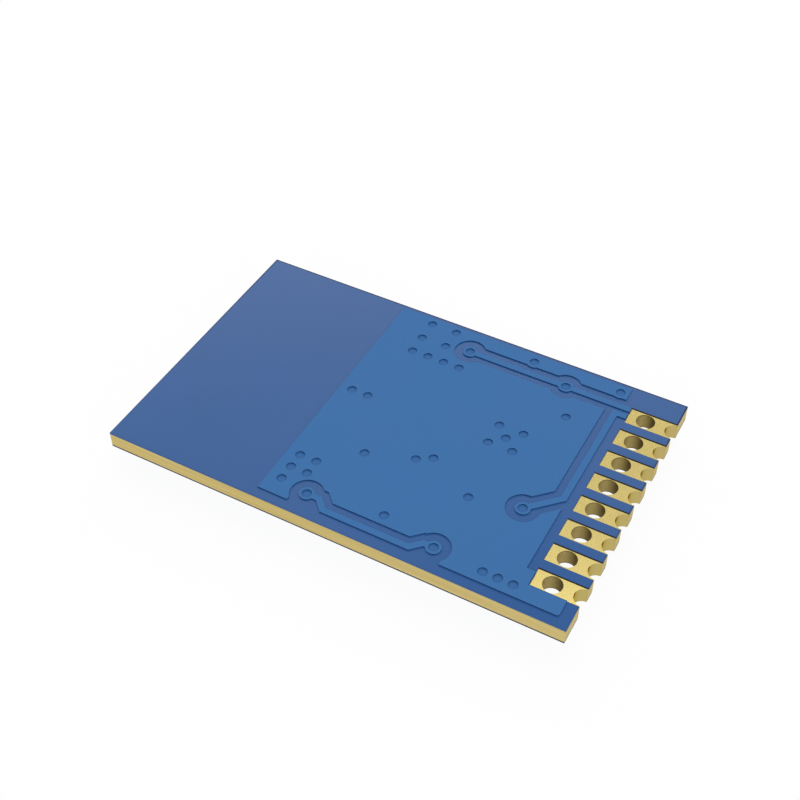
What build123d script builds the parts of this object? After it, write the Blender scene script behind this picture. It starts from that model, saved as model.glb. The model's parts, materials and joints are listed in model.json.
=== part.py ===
from build123d import *
from math import atan2, cos, degrees, radians, sin, tan
import os

os.makedirs("parts", exist_ok=True)

# Frame: the board lies component side down, +Z out of its solder side, +X towards its edge contacts.
# The origin is the centre of the board's outline, on the plane that the chip and the crystal rest on.

# Board
board_length = 19.1
board_width = 12.0
core_thickness = 0.60
copper_thickness = 0.045
mask_thickness = 0.07

# Edge contacts, each with a plated hole and a half hole on the board's edge
contact_count = 8
contact_pitch = 1.27
contact_length = 1.89
contact_width = 0.85
contact_hole_radius = 0.375
contact_hole_inset = 1.175
plating_thickness = 0.025

# Vias, covered by the solder mask, which dimples over them
via_drill_radius = 0.15
via_pad_radius = 0.30
ground_pad_radius = 0.33
front_via_pad_radius = 0.25
dimple_radius = 0.195
dimple_depth = 0.05

# Small round forms that repeat are drawn with flat sides; the buried vias need the fewest
round_sides = 12
via_sides = 8

# Signal vias, by their distance in from the contact edge
supply_via_insets = (8.91, 4.66, 3.52)
supply_line_rise = 0.265
supply_front_drop = 2.85
link_via_insets = (10.80, 5.54)
link_line_margin = 0.99
link_lead_left = 0.52
link_lead_right = 0.40
link_dip = 0.40

# Ground vias in rows: distance in from the contact edge, distance from the side edge, count, pitch
stitch_pitch = 0.71
rear_via_rows = [
    (11.03, 0.56, 2, 1.11),
    (11.03, 1.495, 2, 1.09),
    (11.01, 2.38, 4, stitch_pitch),
    (6.34, 0.60, 1, 0),
    (2.61, 0.565, 1, 0),
]
front_via_rows = [
    (12.02, 2.505, 2, stitch_pitch),
    (12.02, 1.84, 2, stitch_pitch),
    (12.02, 1.18, 1, 0),
    (3.54, 0.855, 3, 0.59),
]

# Ground vias beside the chip: distance in from the contact edge, distance behind the chip's centre
chip_side_via_places = [(3.975, 2.135), (5.49, -3.34), (8.07, -2.595), (7.51, -2.24)]
shunt_via_inset = 12.06
shunt_via_pitch = 0.72
shunt_ground_drop = 0.52

# Tracks and ground planes
back_track_width = 0.26
back_clearance = 0.30
via_clearance = 0.36
link_cut_reach = 0.50
front_track_width = 0.15
front_clearance = 0.15
least_clearance = 0.08
circuit_length = 12.58
plane_to_contacts = 0.37
front_edge_margin = 0.40
rear_edge_margin = 0.19
plane_tongue_reach = 1.44
plane_tongue_rise = 0.62
tongue_corner_radius = 0.10
supply_entry_drop = 0.155
supply_column_inset = 0.50

# Printed antenna
antenna_width = 0.50
antenna_end_margin = 0.35
antenna_side_margin = 0.95
antenna_plane_gap = 1.92
antenna_feed_y = 2.60
antenna_first_turn_y = 1.50
antenna_turns = 5

# Transceiver chip, a leadless square package
chip_inset = 5.55
chip_y = 1.00
chip_size = 4.00
chip_height = 0.85
chip_pins_per_side = 5
chip_pin_pitch = 0.50
lead_width = 0.25
lead_length = 0.40
lead_thickness = 0.20
lead_pad_reach = 0.25
thermal_pad_size = 2.50
thermal_via_spacing = 1.02
pin_mark_radius = 0.20
pin_mark_depth = 0.04
pin_mark_inset = 0.55

# Crystal in a ceramic package with a metal lid
crystal_inset = 8.86
crystal_y = -3.41
crystal_length = 3.20
crystal_width = 2.50
crystal_height = 0.85
crystal_lid_height = 0.25
crystal_lid_margin = 0.16
crystal_lid_corner = 0.30
crystal_lid_edge = 0.06
crystal_notch_radius = 0.18
crystal_pad_length = 1.00
crystal_pad_width = 0.85
crystal_pad_thickness = 0.03
crystal_pad_outset = 0.10
crystal_via_step_x = 1.07
crystal_via_step_y = 1.16

# Passive parts, two terminals each
passive_length = 1.00
passive_width = 0.50
passive_height = 0.50
resistor_height = 0.35
resistor_coat_thickness = 0.04
resistor_coat_length = 0.44
terminal_band = 0.25
terminal_thickness = 0.02
passive_pad_spacing = 0.96
passive_pad_length = 0.50

# Solder
seat_gap = 0.02
solder_climb_passive = 0.26
solder_climb_lead = 0.14
solder_climb_crystal = 0.20
solder_sag = 0.12

# Levels, from the rest plane up
seat_z = max(chip_height, crystal_height)
standoff = mask_thickness + seat_gap
front_copper_z = seat_z + standoff
core_bottom = front_copper_z + copper_thickness
core_top = core_bottom + core_thickness

# Places in plan that the rest is worked out from
contact_edge = board_length / 2
antenna_edge = -board_length / 2
rear_edge = board_width / 2
front_edge = -board_width / 2
contact_inner = contact_edge - contact_length
plane_left = contact_edge - circuit_length
plane_right = contact_inner - plane_to_contacts
plane_rear = rear_edge - rear_edge_margin
plane_front = front_edge + front_edge_margin
contact_drill_radius = contact_hole_radius + plating_thickness
chip_x = contact_edge - chip_inset
crystal_x = contact_edge - crystal_inset
pad_reach = chip_size / 2 + lead_pad_reach


def inward(distance, y):
    """A point that lies a distance in from the contact edge."""
    return (contact_edge - distance, y)


def row(distance, y, count, pitch):
    """Points in a row along X, the first at a distance in from the contact edge."""
    return [inward(distance - i * pitch, y) for i in range(count)]


def rows(places, side, sign):
    """Points of several rows, each at a distance from a side edge."""
    points = []
    for distance, inset, count, pitch in places:
        points += row(distance, side + sign * inset, count, pitch)
    return points


def shifted(point, x, y):
    """A point moved by x and y."""
    return (point[0] + x, point[1] + y)


def contact_y(number):
    """The centre line of a contact, counted from the rear."""
    return (contact_count + 1 - 2 * number) / 2 * contact_pitch


def track(points, width, mode=Mode.ADD):
    """Lay a track with mitred corners in the open sketch."""
    runs = [Vector(*end) - Vector(*start) for start, end in zip(points, points[1:])]
    turns = [0] + [first.get_angle(second) for first, second in zip(runs, runs[1:])] + [0]
    strips = []
    for start, run, turn_in, turn_out in zip(points, runs, turns, turns[1:]):
        before = width / 2 * tan(radians(turn_in / 2))
        after = width / 2 * tan(radians(turn_out / 2))
        middle = Vector(*start) + (run + run.normalized() * (after - before)) / 2
        heading = degrees(atan2(run.Y, run.X))
        strip = Rectangle(run.length + before + after, width, mode=Mode.PRIVATE)
        strips.append(Location((middle.X, middle.Y, 0), (0, 0, heading)) * strip)
    add(strips, mode=mode)


def box_between(low, high, mode=Mode.ADD):
    """Draw the rectangle between two corners in the open sketch."""
    with Locations(((low[0] + high[0]) / 2, (low[1] + high[1]) / 2)):
        Rectangle(high[0] - low[0], high[1] - low[1], mode=mode)


def board_outline():
    """Draw the board's outline in the open sketch."""
    Rectangle(board_length, board_width)


def contact_window(number, mode=Mode.ADD):
    """Draw one contact's outline in the open sketch."""
    y = contact_y(number)
    box_between((contact_inner, y - contact_width / 2), (contact_edge, y + contact_width / 2), mode)


contact_numbers = range(1, contact_count + 1)
last_contact = contact_y(contact_count)
contact_holes = [inward(contact_hole_inset, contact_y(n)) for n in contact_numbers]
contact_notches = [inward(0, contact_y(n)) for n in contact_numbers]

# Signal vias: three on the supply, two on the crystal's link
supply_y = contact_y(1) + supply_line_rise
supply_via_left = inward(supply_via_insets[0], supply_y)
supply_via_middle = inward(supply_via_insets[1], supply_y)
supply_via_front = inward(supply_via_insets[2], chip_y - supply_front_drop)
link_y = front_edge + link_line_margin
link_via_left = inward(link_via_insets[0], link_y)
link_via_right = inward(link_via_insets[1], link_y)
signal_vias = [
    supply_via_left,
    supply_via_middle,
    supply_via_front,
    link_via_left,
    link_via_right,
]

# Ground vias
shunt_ground_y = chip_y - shunt_ground_drop
thermal_vias = [(chip_x, chip_y)] + [
    (chip_x + i * thermal_via_spacing / 2, chip_y + j * thermal_via_spacing / 2)
    for i in (-1, 1)
    for j in (-1, 1)
]
crystal_vias = [
    (crystal_x - crystal_via_step_x, crystal_y + crystal_via_step_y),
    (crystal_x + crystal_via_step_x, crystal_y - crystal_via_step_y),
]
rear_vias = rows(rear_via_rows, rear_edge, -1)
front_vias = rows(front_via_rows, front_edge, 1)
chip_side_vias = [inward(distance, chip_y + behind) for distance, behind in chip_side_via_places]
shunt_vias = row(shunt_via_inset, shunt_ground_y, 2, shunt_via_pitch)
ground_vias = thermal_vias + crystal_vias + rear_vias + front_vias + chip_side_vias + shunt_vias
vias = signal_vias + ground_vias

# Back tracks: two of the supply from contact 1, and the crystal's link along the front edge
supply_entry_y = contact_y(1) - supply_entry_drop
supply_column_x = contact_inner - supply_column_inset
supply_drop = supply_column_x - supply_via_front[0]
rear_supply = [supply_via_left, (contact_inner + back_track_width, supply_y)]
side_supply = [
    (contact_inner + back_track_width, supply_entry_y),
    (supply_column_x, supply_entry_y),
    (supply_column_x, supply_via_front[1] + supply_drop),
    supply_via_front,
]
link = [
    link_via_left,
    shifted(link_via_left, link_lead_left, 0),
    shifted(link_via_left, link_lead_left + link_dip, -link_dip),
    shifted(link_via_right, -link_lead_right - link_dip, -link_dip),
    shifted(link_via_right, -link_lead_right, 0),
    link_via_right,
]
back_tracks = [rear_supply, side_supply, link]

with BuildSketch() as supply_copper:
    track(rear_supply, back_track_width)
    track(side_supply, back_track_width)
    with Locations(supply_via_left, supply_via_middle, supply_via_front):
        Circle(via_pad_radius)
    contact_window(1, Mode.SUBTRACT)

with BuildSketch() as link_copper:
    track(link, back_track_width)
    with Locations(link_via_left, link_via_right):
        Circle(via_pad_radius)

# Back ground plane: the field, a step to contact 8 and a tongue under it
tongue_right = contact_inner + plane_tongue_reach
last_contact_front = last_contact - contact_width / 2
with BuildSketch() as plane_copper:
    box_between((plane_left, plane_front), (plane_right, plane_rear))
    box_between((plane_right, plane_front), (contact_inner, last_contact_front + plane_tongue_rise))
    box_between((contact_inner, plane_front), (tongue_right, last_contact_front))
    for path in back_tracks:
        track(path, back_track_width + 2 * back_clearance, Mode.SUBTRACT)
    with Locations(*signal_vias):
        Circle(via_pad_radius + via_clearance, mode=Mode.SUBTRACT)
    box_between(
        (link_via_left[0] - link_cut_reach, front_edge),
        (link_via_right[0] + link_cut_reach, link_y),
        Mode.SUBTRACT,
    )
    with Locations(*rear_vias[-2:]):
        Circle(ground_pad_radius)
    for path in back_tracks:
        track(path, back_track_width + 2 * least_clearance, Mode.SUBTRACT)
    tongue_corner = plane_copper.vertices().group_by(Axis.Y)[0].sort_by(Axis.X)[-1]
    fillet(tongue_corner, tongue_corner_radius)

# Passive parts: centre and turn about Z; the first terminal of a turned one is its front one
match_y = chip_y + 0.46
pair_y = chip_y - 0.50
bias_y = chip_y - 1.87
feed_x = contact_edge - 11.70
oscillator_x = chip_x - chip_pin_pitch
passives = {
    "capacitor_1": (oscillator_x - 0.75, crystal_y - 0.74, 90),
    "capacitor_2": (link_via_right[0] + 0.94, crystal_y - 0.89, 0),
    "capacitor_3": (chip_x - pad_reach - 0.30, bias_y, 90),
    "capacitor_4": (chip_x - pad_reach - 1.00, bias_y, 90),
    "capacitor_5": (feed_x + 1.00, match_y, 0),
    "capacitor_6": (feed_x, shunt_ground_y + passive_pad_spacing / 2, 90),
    "capacitor_7": (chip_x + 1.10, chip_y + pad_reach + 0.45, 0),
    "capacitor_8": (supply_via_left[0] - passive_pad_spacing / 2, chip_y + 2.05, 0),
    "capacitor_9": (supply_via_front[0] - 0.78, supply_via_front[1] - 0.75, 0),
    "inductor_1": (chip_x - pad_reach - 1.70, pair_y - passive_pad_spacing / 2, 90),
    "inductor_2": (chip_x - pad_reach - 0.65, pair_y + passive_pad_spacing / 2, 90),
    "inductor_3": (chip_x - pad_reach - 1.65, match_y, 0),
    "resistor_1": (oscillator_x - passive_pad_spacing / 2, crystal_y + 0.41, 0),
    "resistor_2": (chip_x - 1.55, chip_y + pad_reach + 0.85, 90),
}


def terminal(name, second):
    """The centre of one pad of a passive part: the first, or the second."""
    x, y, turn = passives[name]
    half = passive_pad_spacing / 2 if second else -passive_pad_spacing / 2
    return (x + half * cos(radians(turn)), y + half * sin(radians(turn)))


def passive_pad(name, second, margin=0):
    """Draw one pad of a passive part in the open sketch."""
    length = passive_pad_length + 2 * margin
    with Locations(terminal(name, second)):
        Rectangle(length, passive_width + 2 * margin, rotation=passives[name][2])


# Terminals that lie in the ground plane, by part and end
grounded = {
    ("capacitor_1", False),
    ("capacitor_2", True),
    ("capacitor_3", False),
    ("capacitor_4", False),
    ("capacitor_6", False),
    ("capacitor_7", True),
    ("capacitor_8", False),
    ("capacitor_9", False),
    ("resistor_2", True),
}
ground_pins = {8, 14, 17, 20}


def chip_pin(number, reach):
    """The point on a pin's centre line, at a reach from the chip's centre; pins run clockwise."""
    side, place = divmod(number - 1, chip_pins_per_side)
    across = ((chip_pins_per_side - 1) / 2 - place) * chip_pin_pitch
    x, y = [(reach, across), (across, -reach), (-reach, -across), (-across, reach)][side]
    return (chip_x + x, chip_y + y)


def chip_pad(number, margin=0):
    """Draw one pin's pad in the open sketch."""
    inner = chip_size / 2 - lead_length
    length = pad_reach - inner + 2 * margin
    side = (number - 1) // chip_pins_per_side
    with Locations(chip_pin(number, (inner + pad_reach) / 2)):
        Rectangle(length, lead_width + 2 * margin, rotation=90 * side)


chip_pins = range(1, 4 * chip_pins_per_side + 1)
crystal_pad_x = (crystal_length - crystal_pad_length) / 2 + crystal_pad_outset
crystal_pad_y = (crystal_width - crystal_pad_width) / 2 + crystal_pad_outset
crystal_signal_pads = [
    (crystal_x + crystal_pad_x, crystal_y + crystal_pad_y),
    (crystal_x - crystal_pad_x, crystal_y - crystal_pad_y),
]
crystal_ground_pads = [
    (crystal_x - crystal_pad_x, crystal_y + crystal_pad_y),
    (crystal_x + crystal_pad_x, crystal_y - crystal_pad_y),
]


def to_contact(pin, number, column):
    """A track from a chip pin on the contact side to a contact, by way of a column where it is far."""
    start = chip_pin(pin, pad_reach)
    leave = shifted(start, 0.15, 0)
    y = contact_y(number)
    drop = y - leave[1]
    slope = 1 if drop > 0 else -1
    if abs(drop) < contact_inner - leave[0]:
        return [start, leave, (leave[0] + abs(drop), y), (contact_inner + front_track_width, y)]
    bend = column - leave[0]
    last = contact_inner - column
    return [
        start,
        leave,
        (column, leave[1] + slope * bend),
        (column, y - slope * last),
        (contact_inner, y),
        (contact_inner + front_track_width, y),
    ]


interrupt_y = chip_y - pad_reach - 0.11
interrupt_x = contact_inner - 1.11
front_tracks = [to_contact(pin, pin + 1, contact_inner - 0.71) for pin in range(1, 6)]
front_tracks += [
    [
        chip_pin(6, pad_reach),
        (chip_pin(6, 0)[0], interrupt_y),
        (interrupt_x - 0.35, interrupt_y),
        (interrupt_x, interrupt_y - 0.35),
        (interrupt_x, contact_y(7) + 0.87),
        (interrupt_x + 0.87, contact_y(7)),
        (contact_inner + front_track_width, contact_y(7)),
    ],
    [
        chip_pin(7, pad_reach),
        (chip_pin(7, 0)[0], supply_via_front[1]),
        supply_via_front,
        terminal("capacitor_9", True),
    ],
    [
        chip_pin(9, pad_reach),
        (chip_pin(9, 0)[0], link_via_right[1] + 0.51),
        link_via_right,
    ],
    [
        (chip_pin(9, 0)[0], terminal("capacitor_2", False)[1]),
        terminal("capacitor_2", False),
    ],
    [
        chip_pin(10, pad_reach),
        shifted(chip_pin(10, pad_reach), 0, -0.35),
        crystal_signal_pads[0],
        terminal("resistor_1", False),
        terminal("capacitor_1", True),
    ],
    [crystal_signal_pads[1], link_via_left],
    [
        chip_pin(11, pad_reach),
        terminal("capacitor_3", True),
        terminal("capacitor_4", True),
        terminal("inductor_1", False),
    ],
    [chip_pin(12, pad_reach), terminal("inductor_2", False), terminal("inductor_1", True)],
    [
        chip_pin(13, pad_reach),
        shifted(terminal("inductor_2", True), 0.30, -0.16),
        terminal("inductor_2", True),
        terminal("inductor_3", True),
    ],
    [terminal("inductor_3", False), terminal("capacitor_5", True)],
    [terminal("capacitor_5", False), terminal("capacitor_6", True)],
    [
        terminal("capacitor_6", True),
        (feed_x, antenna_feed_y - 0.40),
        (feed_x - 0.40, antenna_feed_y),
        (plane_left, antenna_feed_y),
    ],
    [
        supply_via_left,
        terminal("capacitor_8", True),
        shifted(chip_pin(15, pad_reach), -0.90, 0.70),
        shifted(chip_pin(15, pad_reach), -0.20, 0),
        chip_pin(15, pad_reach),
    ],
    [chip_pin(16, pad_reach), terminal("resistor_2", False)],
    [
        supply_via_middle,
        (chip_pin(18, 0)[0] + 0.30, supply_y),
        (chip_pin(18, 0)[0], supply_y - 0.30),
        chip_pin(18, pad_reach),
    ],
    [chip_pin(19, pad_reach), shifted(chip_pin(19, pad_reach), 0, 0.30)],
]


def signal_pads(margin=0):
    """Draw the pads on the component side that aren't grounded, in the open sketch."""
    for name in passives:
        for second in (False, True):
            if (name, second) not in grounded:
                passive_pad(name, second, margin)
    for number in chip_pins:
        if number not in ground_pins:
            chip_pad(number, margin)
    with Locations(*crystal_signal_pads):
        Rectangle(crystal_pad_length + 2 * margin, crystal_pad_width + 2 * margin)


def signal_shapes(margin=0):
    """Draw the signal pads, tracks and via pads of the component side, grown by a margin."""
    signal_pads(margin)
    for path in front_tracks:
        track(path, front_track_width + 2 * margin)
    with Locations(*signal_vias):
        RegularPolygon(front_via_pad_radius + margin, round_sides)


def ground_pads():
    """Draw the grounded pads on the component side in the open sketch."""
    for name, second in sorted(grounded):
        passive_pad(name, second)
    for number in sorted(ground_pins):
        chip_pad(number)
    with Locations(*crystal_ground_pads):
        Rectangle(crystal_pad_length, crystal_pad_width)
    with Locations((chip_x, chip_y)):
        Rectangle(thermal_pad_size, thermal_pad_size)


with BuildSketch() as signal_copper:
    signal_shapes()
    box_between((antenna_edge, front_edge), (plane_left, rear_edge), Mode.SUBTRACT)
    for number in contact_numbers:
        contact_window(number, Mode.SUBTRACT)

with BuildSketch() as signal_clearance:
    signal_shapes(front_clearance)

with BuildSketch() as front_plane_field:
    box_between((plane_left, plane_front), (plane_right, plane_rear))
    box_between((plane_right, plane_front), (contact_inner, last_contact_front + plane_tongue_rise))
    add(signal_clearance.sketch, mode=Mode.SUBTRACT)
    ground_pads()
    for number in contact_numbers:
        contact_window(number, Mode.SUBTRACT)

# Copper that the clearances cut off from the ground plane is left out
front_plane_copper = front_plane_field.faces().sort_by(SortBy.AREA)[-1]

# Antenna: two legs from the circuit, a bar along the far edge and square turns from its end
far_x = antenna_edge + antenna_end_margin + antenna_width / 2
near_x = plane_left - antenna_plane_gap - antenna_width / 2
ground_leg_y = rear_edge - antenna_side_margin
last_turn_y = front_edge + antenna_side_margin
turn_pitch = (antenna_first_turn_y - last_turn_y) / antenna_turns
antenna_line = [(plane_left, ground_leg_y), (far_x, ground_leg_y)]
for turn in range(antenna_turns + 1):
    turn_y = antenna_first_turn_y - turn * turn_pitch
    ends = (far_x, near_x) if turn % 2 == 0 else (near_x, far_x)
    antenna_line += [(ends[0], turn_y), (ends[1], turn_y)]

with BuildSketch() as antenna_copper:
    for start, end in zip(antenna_line, antenna_line[1:]):
        low = (min(start[0], end[0]), min(start[1], end[1]))
        high = (max(start[0], end[0]), max(start[1], end[1]))
        box_between(
            shifted(low, -antenna_width / 2, -antenna_width / 2),
            shifted(high, antenna_width / 2, antenna_width / 2),
        )
    box_between(
        (far_x, antenna_feed_y - antenna_width / 2),
        (plane_left, antenna_feed_y + antenna_width / 2),
    )
    box_between((plane_left, front_edge), (contact_edge, rear_edge), Mode.SUBTRACT)

# Substrate: glass fibre laminate, drilled for the contacts and the vias
with BuildPart() as substrate:
    with BuildSketch(Plane.XY.offset(core_bottom)):
        board_outline()
        with Locations(*contact_holes, *contact_notches):
            Circle(contact_drill_radius, mode=Mode.SUBTRACT)
        with Locations(*vias):
            RegularPolygon(via_drill_radius, via_sides, mode=Mode.SUBTRACT)
    extrude(amount=core_thickness)
substrate.part.label = "substrate"
export_step(substrate.part, "parts/substrate.step")

# Via barrels, plated shut and buried
with BuildPart() as via_barrels:
    with BuildSketch(Plane.XY.offset(core_bottom)):
        with Locations(*vias):
            RegularPolygon(via_drill_radius, via_sides)
    extrude(amount=core_thickness)
via_barrels.part.label = "via_barrels"
export_step(via_barrels.part, "parts/via_barrels.step")

# Contacts: a pad on each face, a plated hole and a plated half hole in the edge
for number in contact_numbers:
    with BuildPart() as contact:
        for level in (front_copper_z, core_top):
            with BuildSketch(Plane.XY.offset(level)):
                contact_window(number)
            extrude(amount=copper_thickness)
        with BuildSketch(Plane.XY.offset(core_bottom)):
            with Locations(contact_holes[number - 1], contact_notches[number - 1]):
                Circle(contact_drill_radius)
            contact_window(number, Mode.INTERSECT)
        extrude(amount=core_thickness)
        with BuildSketch(Plane.XY.offset(front_copper_z)):
            with Locations(contact_holes[number - 1], contact_notches[number - 1]):
                Circle(contact_hole_radius)
        extrude(amount=core_thickness + 2 * copper_thickness, mode=Mode.SUBTRACT)
    contact.part.label = f"contact_{number}"
    export_step(contact.part, f"parts/contact_{number}.step")

# Copper on the solder side
with BuildPart() as ground_plane_back:
    with BuildSketch(Plane.XY.offset(core_top)):
        add(plane_copper.sketch)
    extrude(amount=copper_thickness)
ground_plane_back.part.label = "ground_plane_back"
export_step(ground_plane_back.part, "parts/ground_plane_back.step")

with BuildPart() as supply_tracks:
    with BuildSketch(Plane.XY.offset(core_top)):
        add(supply_copper.sketch)
    extrude(amount=copper_thickness)
supply_tracks.part.label = "supply_tracks"
export_step(supply_tracks.part, "parts/supply_tracks.step")

with BuildPart() as crystal_link_track:
    with BuildSketch(Plane.XY.offset(core_top)):
        add(link_copper.sketch)
    extrude(amount=copper_thickness)
crystal_link_track.part.label = "crystal_link_track"
export_step(crystal_link_track.part, "parts/crystal_link_track.step")

# Copper on the component side
with BuildPart() as ground_plane_front:
    with BuildSketch(Plane.XY.offset(front_copper_z)):
        add(front_plane_copper)
    extrude(amount=copper_thickness)
ground_plane_front.part.label = "ground_plane_front"
export_step(ground_plane_front.part, "parts/ground_plane_front.step")

with BuildPart() as signal_tracks:
    with BuildSketch(Plane.XY.offset(front_copper_z)):
        add(signal_copper.sketch)
    extrude(amount=copper_thickness)
signal_tracks.part.label = "signal_tracks"
export_step(signal_tracks.part, "parts/signal_tracks.step")

with BuildPart() as antenna:
    with BuildSketch(Plane.XY.offset(front_copper_z)):
        add(antenna_copper.sketch)
    extrude(amount=copper_thickness)
antenna.part.label = "antenna"
export_step(antenna.part, "parts/antenna.step")

# Solder mask on the solder side: a skin that steps up over the copper and dimples over the vias
with BuildPart() as solder_mask_back:
    with BuildSketch(Plane.XY.offset(core_top)):
        board_outline()
        for number in contact_numbers:
            contact_window(number, Mode.SUBTRACT)
    extrude(amount=mask_thickness)
    with BuildSketch(Plane.XY.offset(core_top)) as back_copper:
        add(plane_copper.sketch)
        add(supply_copper.sketch)
        add(link_copper.sketch)
    extrude(amount=copper_thickness + mask_thickness)
    with BuildSketch(Plane.XY.offset(core_top)):
        add(back_copper.sketch_local)
    extrude(amount=copper_thickness, mode=Mode.SUBTRACT)
    with BuildSketch(Plane.XY.offset(core_top + copper_thickness + mask_thickness)):
        with Locations(*vias):
            RegularPolygon(dimple_radius, round_sides)
    extrude(amount=-dimple_depth, mode=Mode.SUBTRACT)
solder_mask_back.part.label = "solder_mask_back"
export_step(solder_mask_back.part, "parts/solder_mask_back.step")

# Solder mask on the component side, open over the contacts and every pad
with BuildSketch() as front_windows:
    signal_pads()
    ground_pads()
    for number in contact_numbers:
        contact_window(number)

with BuildSketch() as front_copper:
    add(front_plane_copper)
    add(signal_copper.sketch)
    add(antenna_copper.sketch)

with BuildPart() as solder_mask_front:
    with BuildSketch(Plane.XY.offset(core_bottom)):
        board_outline()
        add(front_windows.sketch, mode=Mode.SUBTRACT)
    extrude(amount=-mask_thickness)
    with BuildSketch(Plane.XY.offset(core_bottom)):
        add(front_copper.sketch)
        add(front_windows.sketch, mode=Mode.SUBTRACT)
    extrude(amount=-copper_thickness - mask_thickness)
    with BuildSketch(Plane.XY.offset(core_bottom)):
        add(front_copper.sketch)
    extrude(amount=-copper_thickness, mode=Mode.SUBTRACT)
solder_mask_front.part.label = "solder_mask_front"
export_step(solder_mask_front.part, "parts/solder_mask_front.step")

# Transceiver chip: leads and thermal pad let into the moulded body, flush with its mounting face
with BuildPart() as chip_leads:
    with BuildSketch(Plane.XY.offset(seat_z)):
        for number in chip_pins:
            with Locations(chip_pin(number, (chip_size - lead_length) / 2)):
                Rectangle(lead_length, lead_width, rotation=90 * ((number - 1) // chip_pins_per_side))
    extrude(amount=-lead_thickness)
chip_leads.part.label = "chip_leads"
export_step(chip_leads.part, "parts/chip_leads.step")

with BuildPart() as chip_thermal_pad:
    with BuildSketch(Plane.XY.offset(seat_z)):
        with Locations((chip_x, chip_y)):
            Rectangle(thermal_pad_size, thermal_pad_size)
    extrude(amount=-lead_thickness)
    towards_pin_one = Axis((chip_x, chip_y, 0), (1, 1, 0))
    pin_one_corner = chip_thermal_pad.edges().filter_by(Axis.Z).sort_by(towards_pin_one)[-1]
    chamfer(pin_one_corner, lead_length)
chip_thermal_pad.part.label = "chip_thermal_pad"
export_step(chip_thermal_pad.part, "parts/chip_thermal_pad.step")

with BuildPart() as chip_body:
    with BuildSketch(Plane.XY.offset(seat_z)):
        with Locations((chip_x, chip_y)):
            Rectangle(chip_size, chip_size)
    extrude(amount=-chip_height)
    mark_reach = chip_size / 2 - pin_mark_inset
    with BuildSketch(Plane.XY.offset(seat_z - chip_height)):
        with Locations((chip_x + mark_reach, chip_y + mark_reach)):
            Circle(pin_mark_radius)
    extrude(amount=pin_mark_depth, mode=Mode.SUBTRACT)
    add(chip_leads.part, mode=Mode.SUBTRACT)
    add(chip_thermal_pad.part, mode=Mode.SUBTRACT)
chip_body.part.label = "chip_body"
export_step(chip_body.part, "parts/chip_body.step")

# Crystal: ceramic base with notched corners, metal lid and four terminals
with BuildPart() as crystal_terminals:
    with BuildSketch(Plane.XY.offset(seat_z)):
        with Locations((crystal_x, crystal_y)):
            with GridLocations(
                crystal_length - crystal_pad_length, crystal_width - crystal_pad_width, 2, 2
            ):
                Rectangle(crystal_pad_length, crystal_pad_width)
            with GridLocations(crystal_length, crystal_width, 2, 2):
                Circle(crystal_notch_radius, mode=Mode.SUBTRACT)
    extrude(amount=-crystal_pad_thickness)
crystal_terminals.part.label = "crystal_terminals"
export_step(crystal_terminals.part, "parts/crystal_terminals.step")

crystal_base_height = crystal_height - crystal_lid_height
with BuildPart() as crystal_base:
    with BuildSketch(Plane.XY.offset(seat_z)):
        with Locations((crystal_x, crystal_y)):
            Rectangle(crystal_length, crystal_width)
            with GridLocations(crystal_length, crystal_width, 2, 2):
                Circle(crystal_notch_radius, mode=Mode.SUBTRACT)
    extrude(amount=-crystal_base_height)
    add(crystal_terminals.part, mode=Mode.SUBTRACT)
crystal_base.part.label = "crystal_base"
export_step(crystal_base.part, "parts/crystal_base.step")

with BuildPart() as crystal_lid:
    with BuildSketch(Plane.XY.offset(seat_z - crystal_base_height)):
        with Locations((crystal_x, crystal_y)):
            RectangleRounded(
                crystal_length - 2 * crystal_lid_margin,
                crystal_width - 2 * crystal_lid_margin,
                crystal_lid_corner,
            )
    extrude(amount=-crystal_lid_height)
    chamfer(crystal_lid.faces().sort_by(Axis.Z)[0].edges(), crystal_lid_edge)
crystal_lid.part.label = "crystal_lid"
export_step(crystal_lid.part, "parts/crystal_lid.step")

# Passive parts: a ceramic block and a plated cap on each end
for name, (x, y, turn) in passives.items():
    height = resistor_height if name.startswith("resistor") else passive_height
    with BuildPart() as body:
        with BuildSketch(Plane.XY.offset(seat_z - terminal_thickness)):
            with Locations((x, y)):
                Rectangle(
                    passive_length - 2 * terminal_thickness,
                    passive_width - 2 * terminal_thickness,
                    rotation=turn,
                )
        extrude(amount=2 * terminal_thickness - height)
    body.part.label = f"{name}_body"
    export_step(body.part, f"parts/{name}_body.step")
    with BuildPart() as caps:
        with BuildSketch(Plane.XY.offset(seat_z)):
            with Locations((x, y)):
                Rectangle(passive_length, passive_width, rotation=turn)
                Rectangle(
                    passive_length - 2 * terminal_band,
                    passive_width,
                    rotation=turn,
                    mode=Mode.SUBTRACT,
                )
        extrude(amount=-height)
        add(body.part, mode=Mode.SUBTRACT)
    caps.part.label = f"{name}_terminals"
    export_step(caps.part, f"parts/{name}_terminals.step")
    if name.startswith("resistor"):
        with BuildPart() as coat:
            with BuildSketch(Plane.XY.offset(seat_z - height + terminal_thickness)):
                with Locations((x, y)):
                    Rectangle(
                        resistor_coat_length,
                        passive_width - 2 * terminal_thickness,
                        rotation=turn,
                    )
            extrude(amount=-resistor_coat_thickness)
        coat.part.label = f"{name}_coat"
        export_step(coat.part, f"parts/{name}_coat.step")


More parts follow.
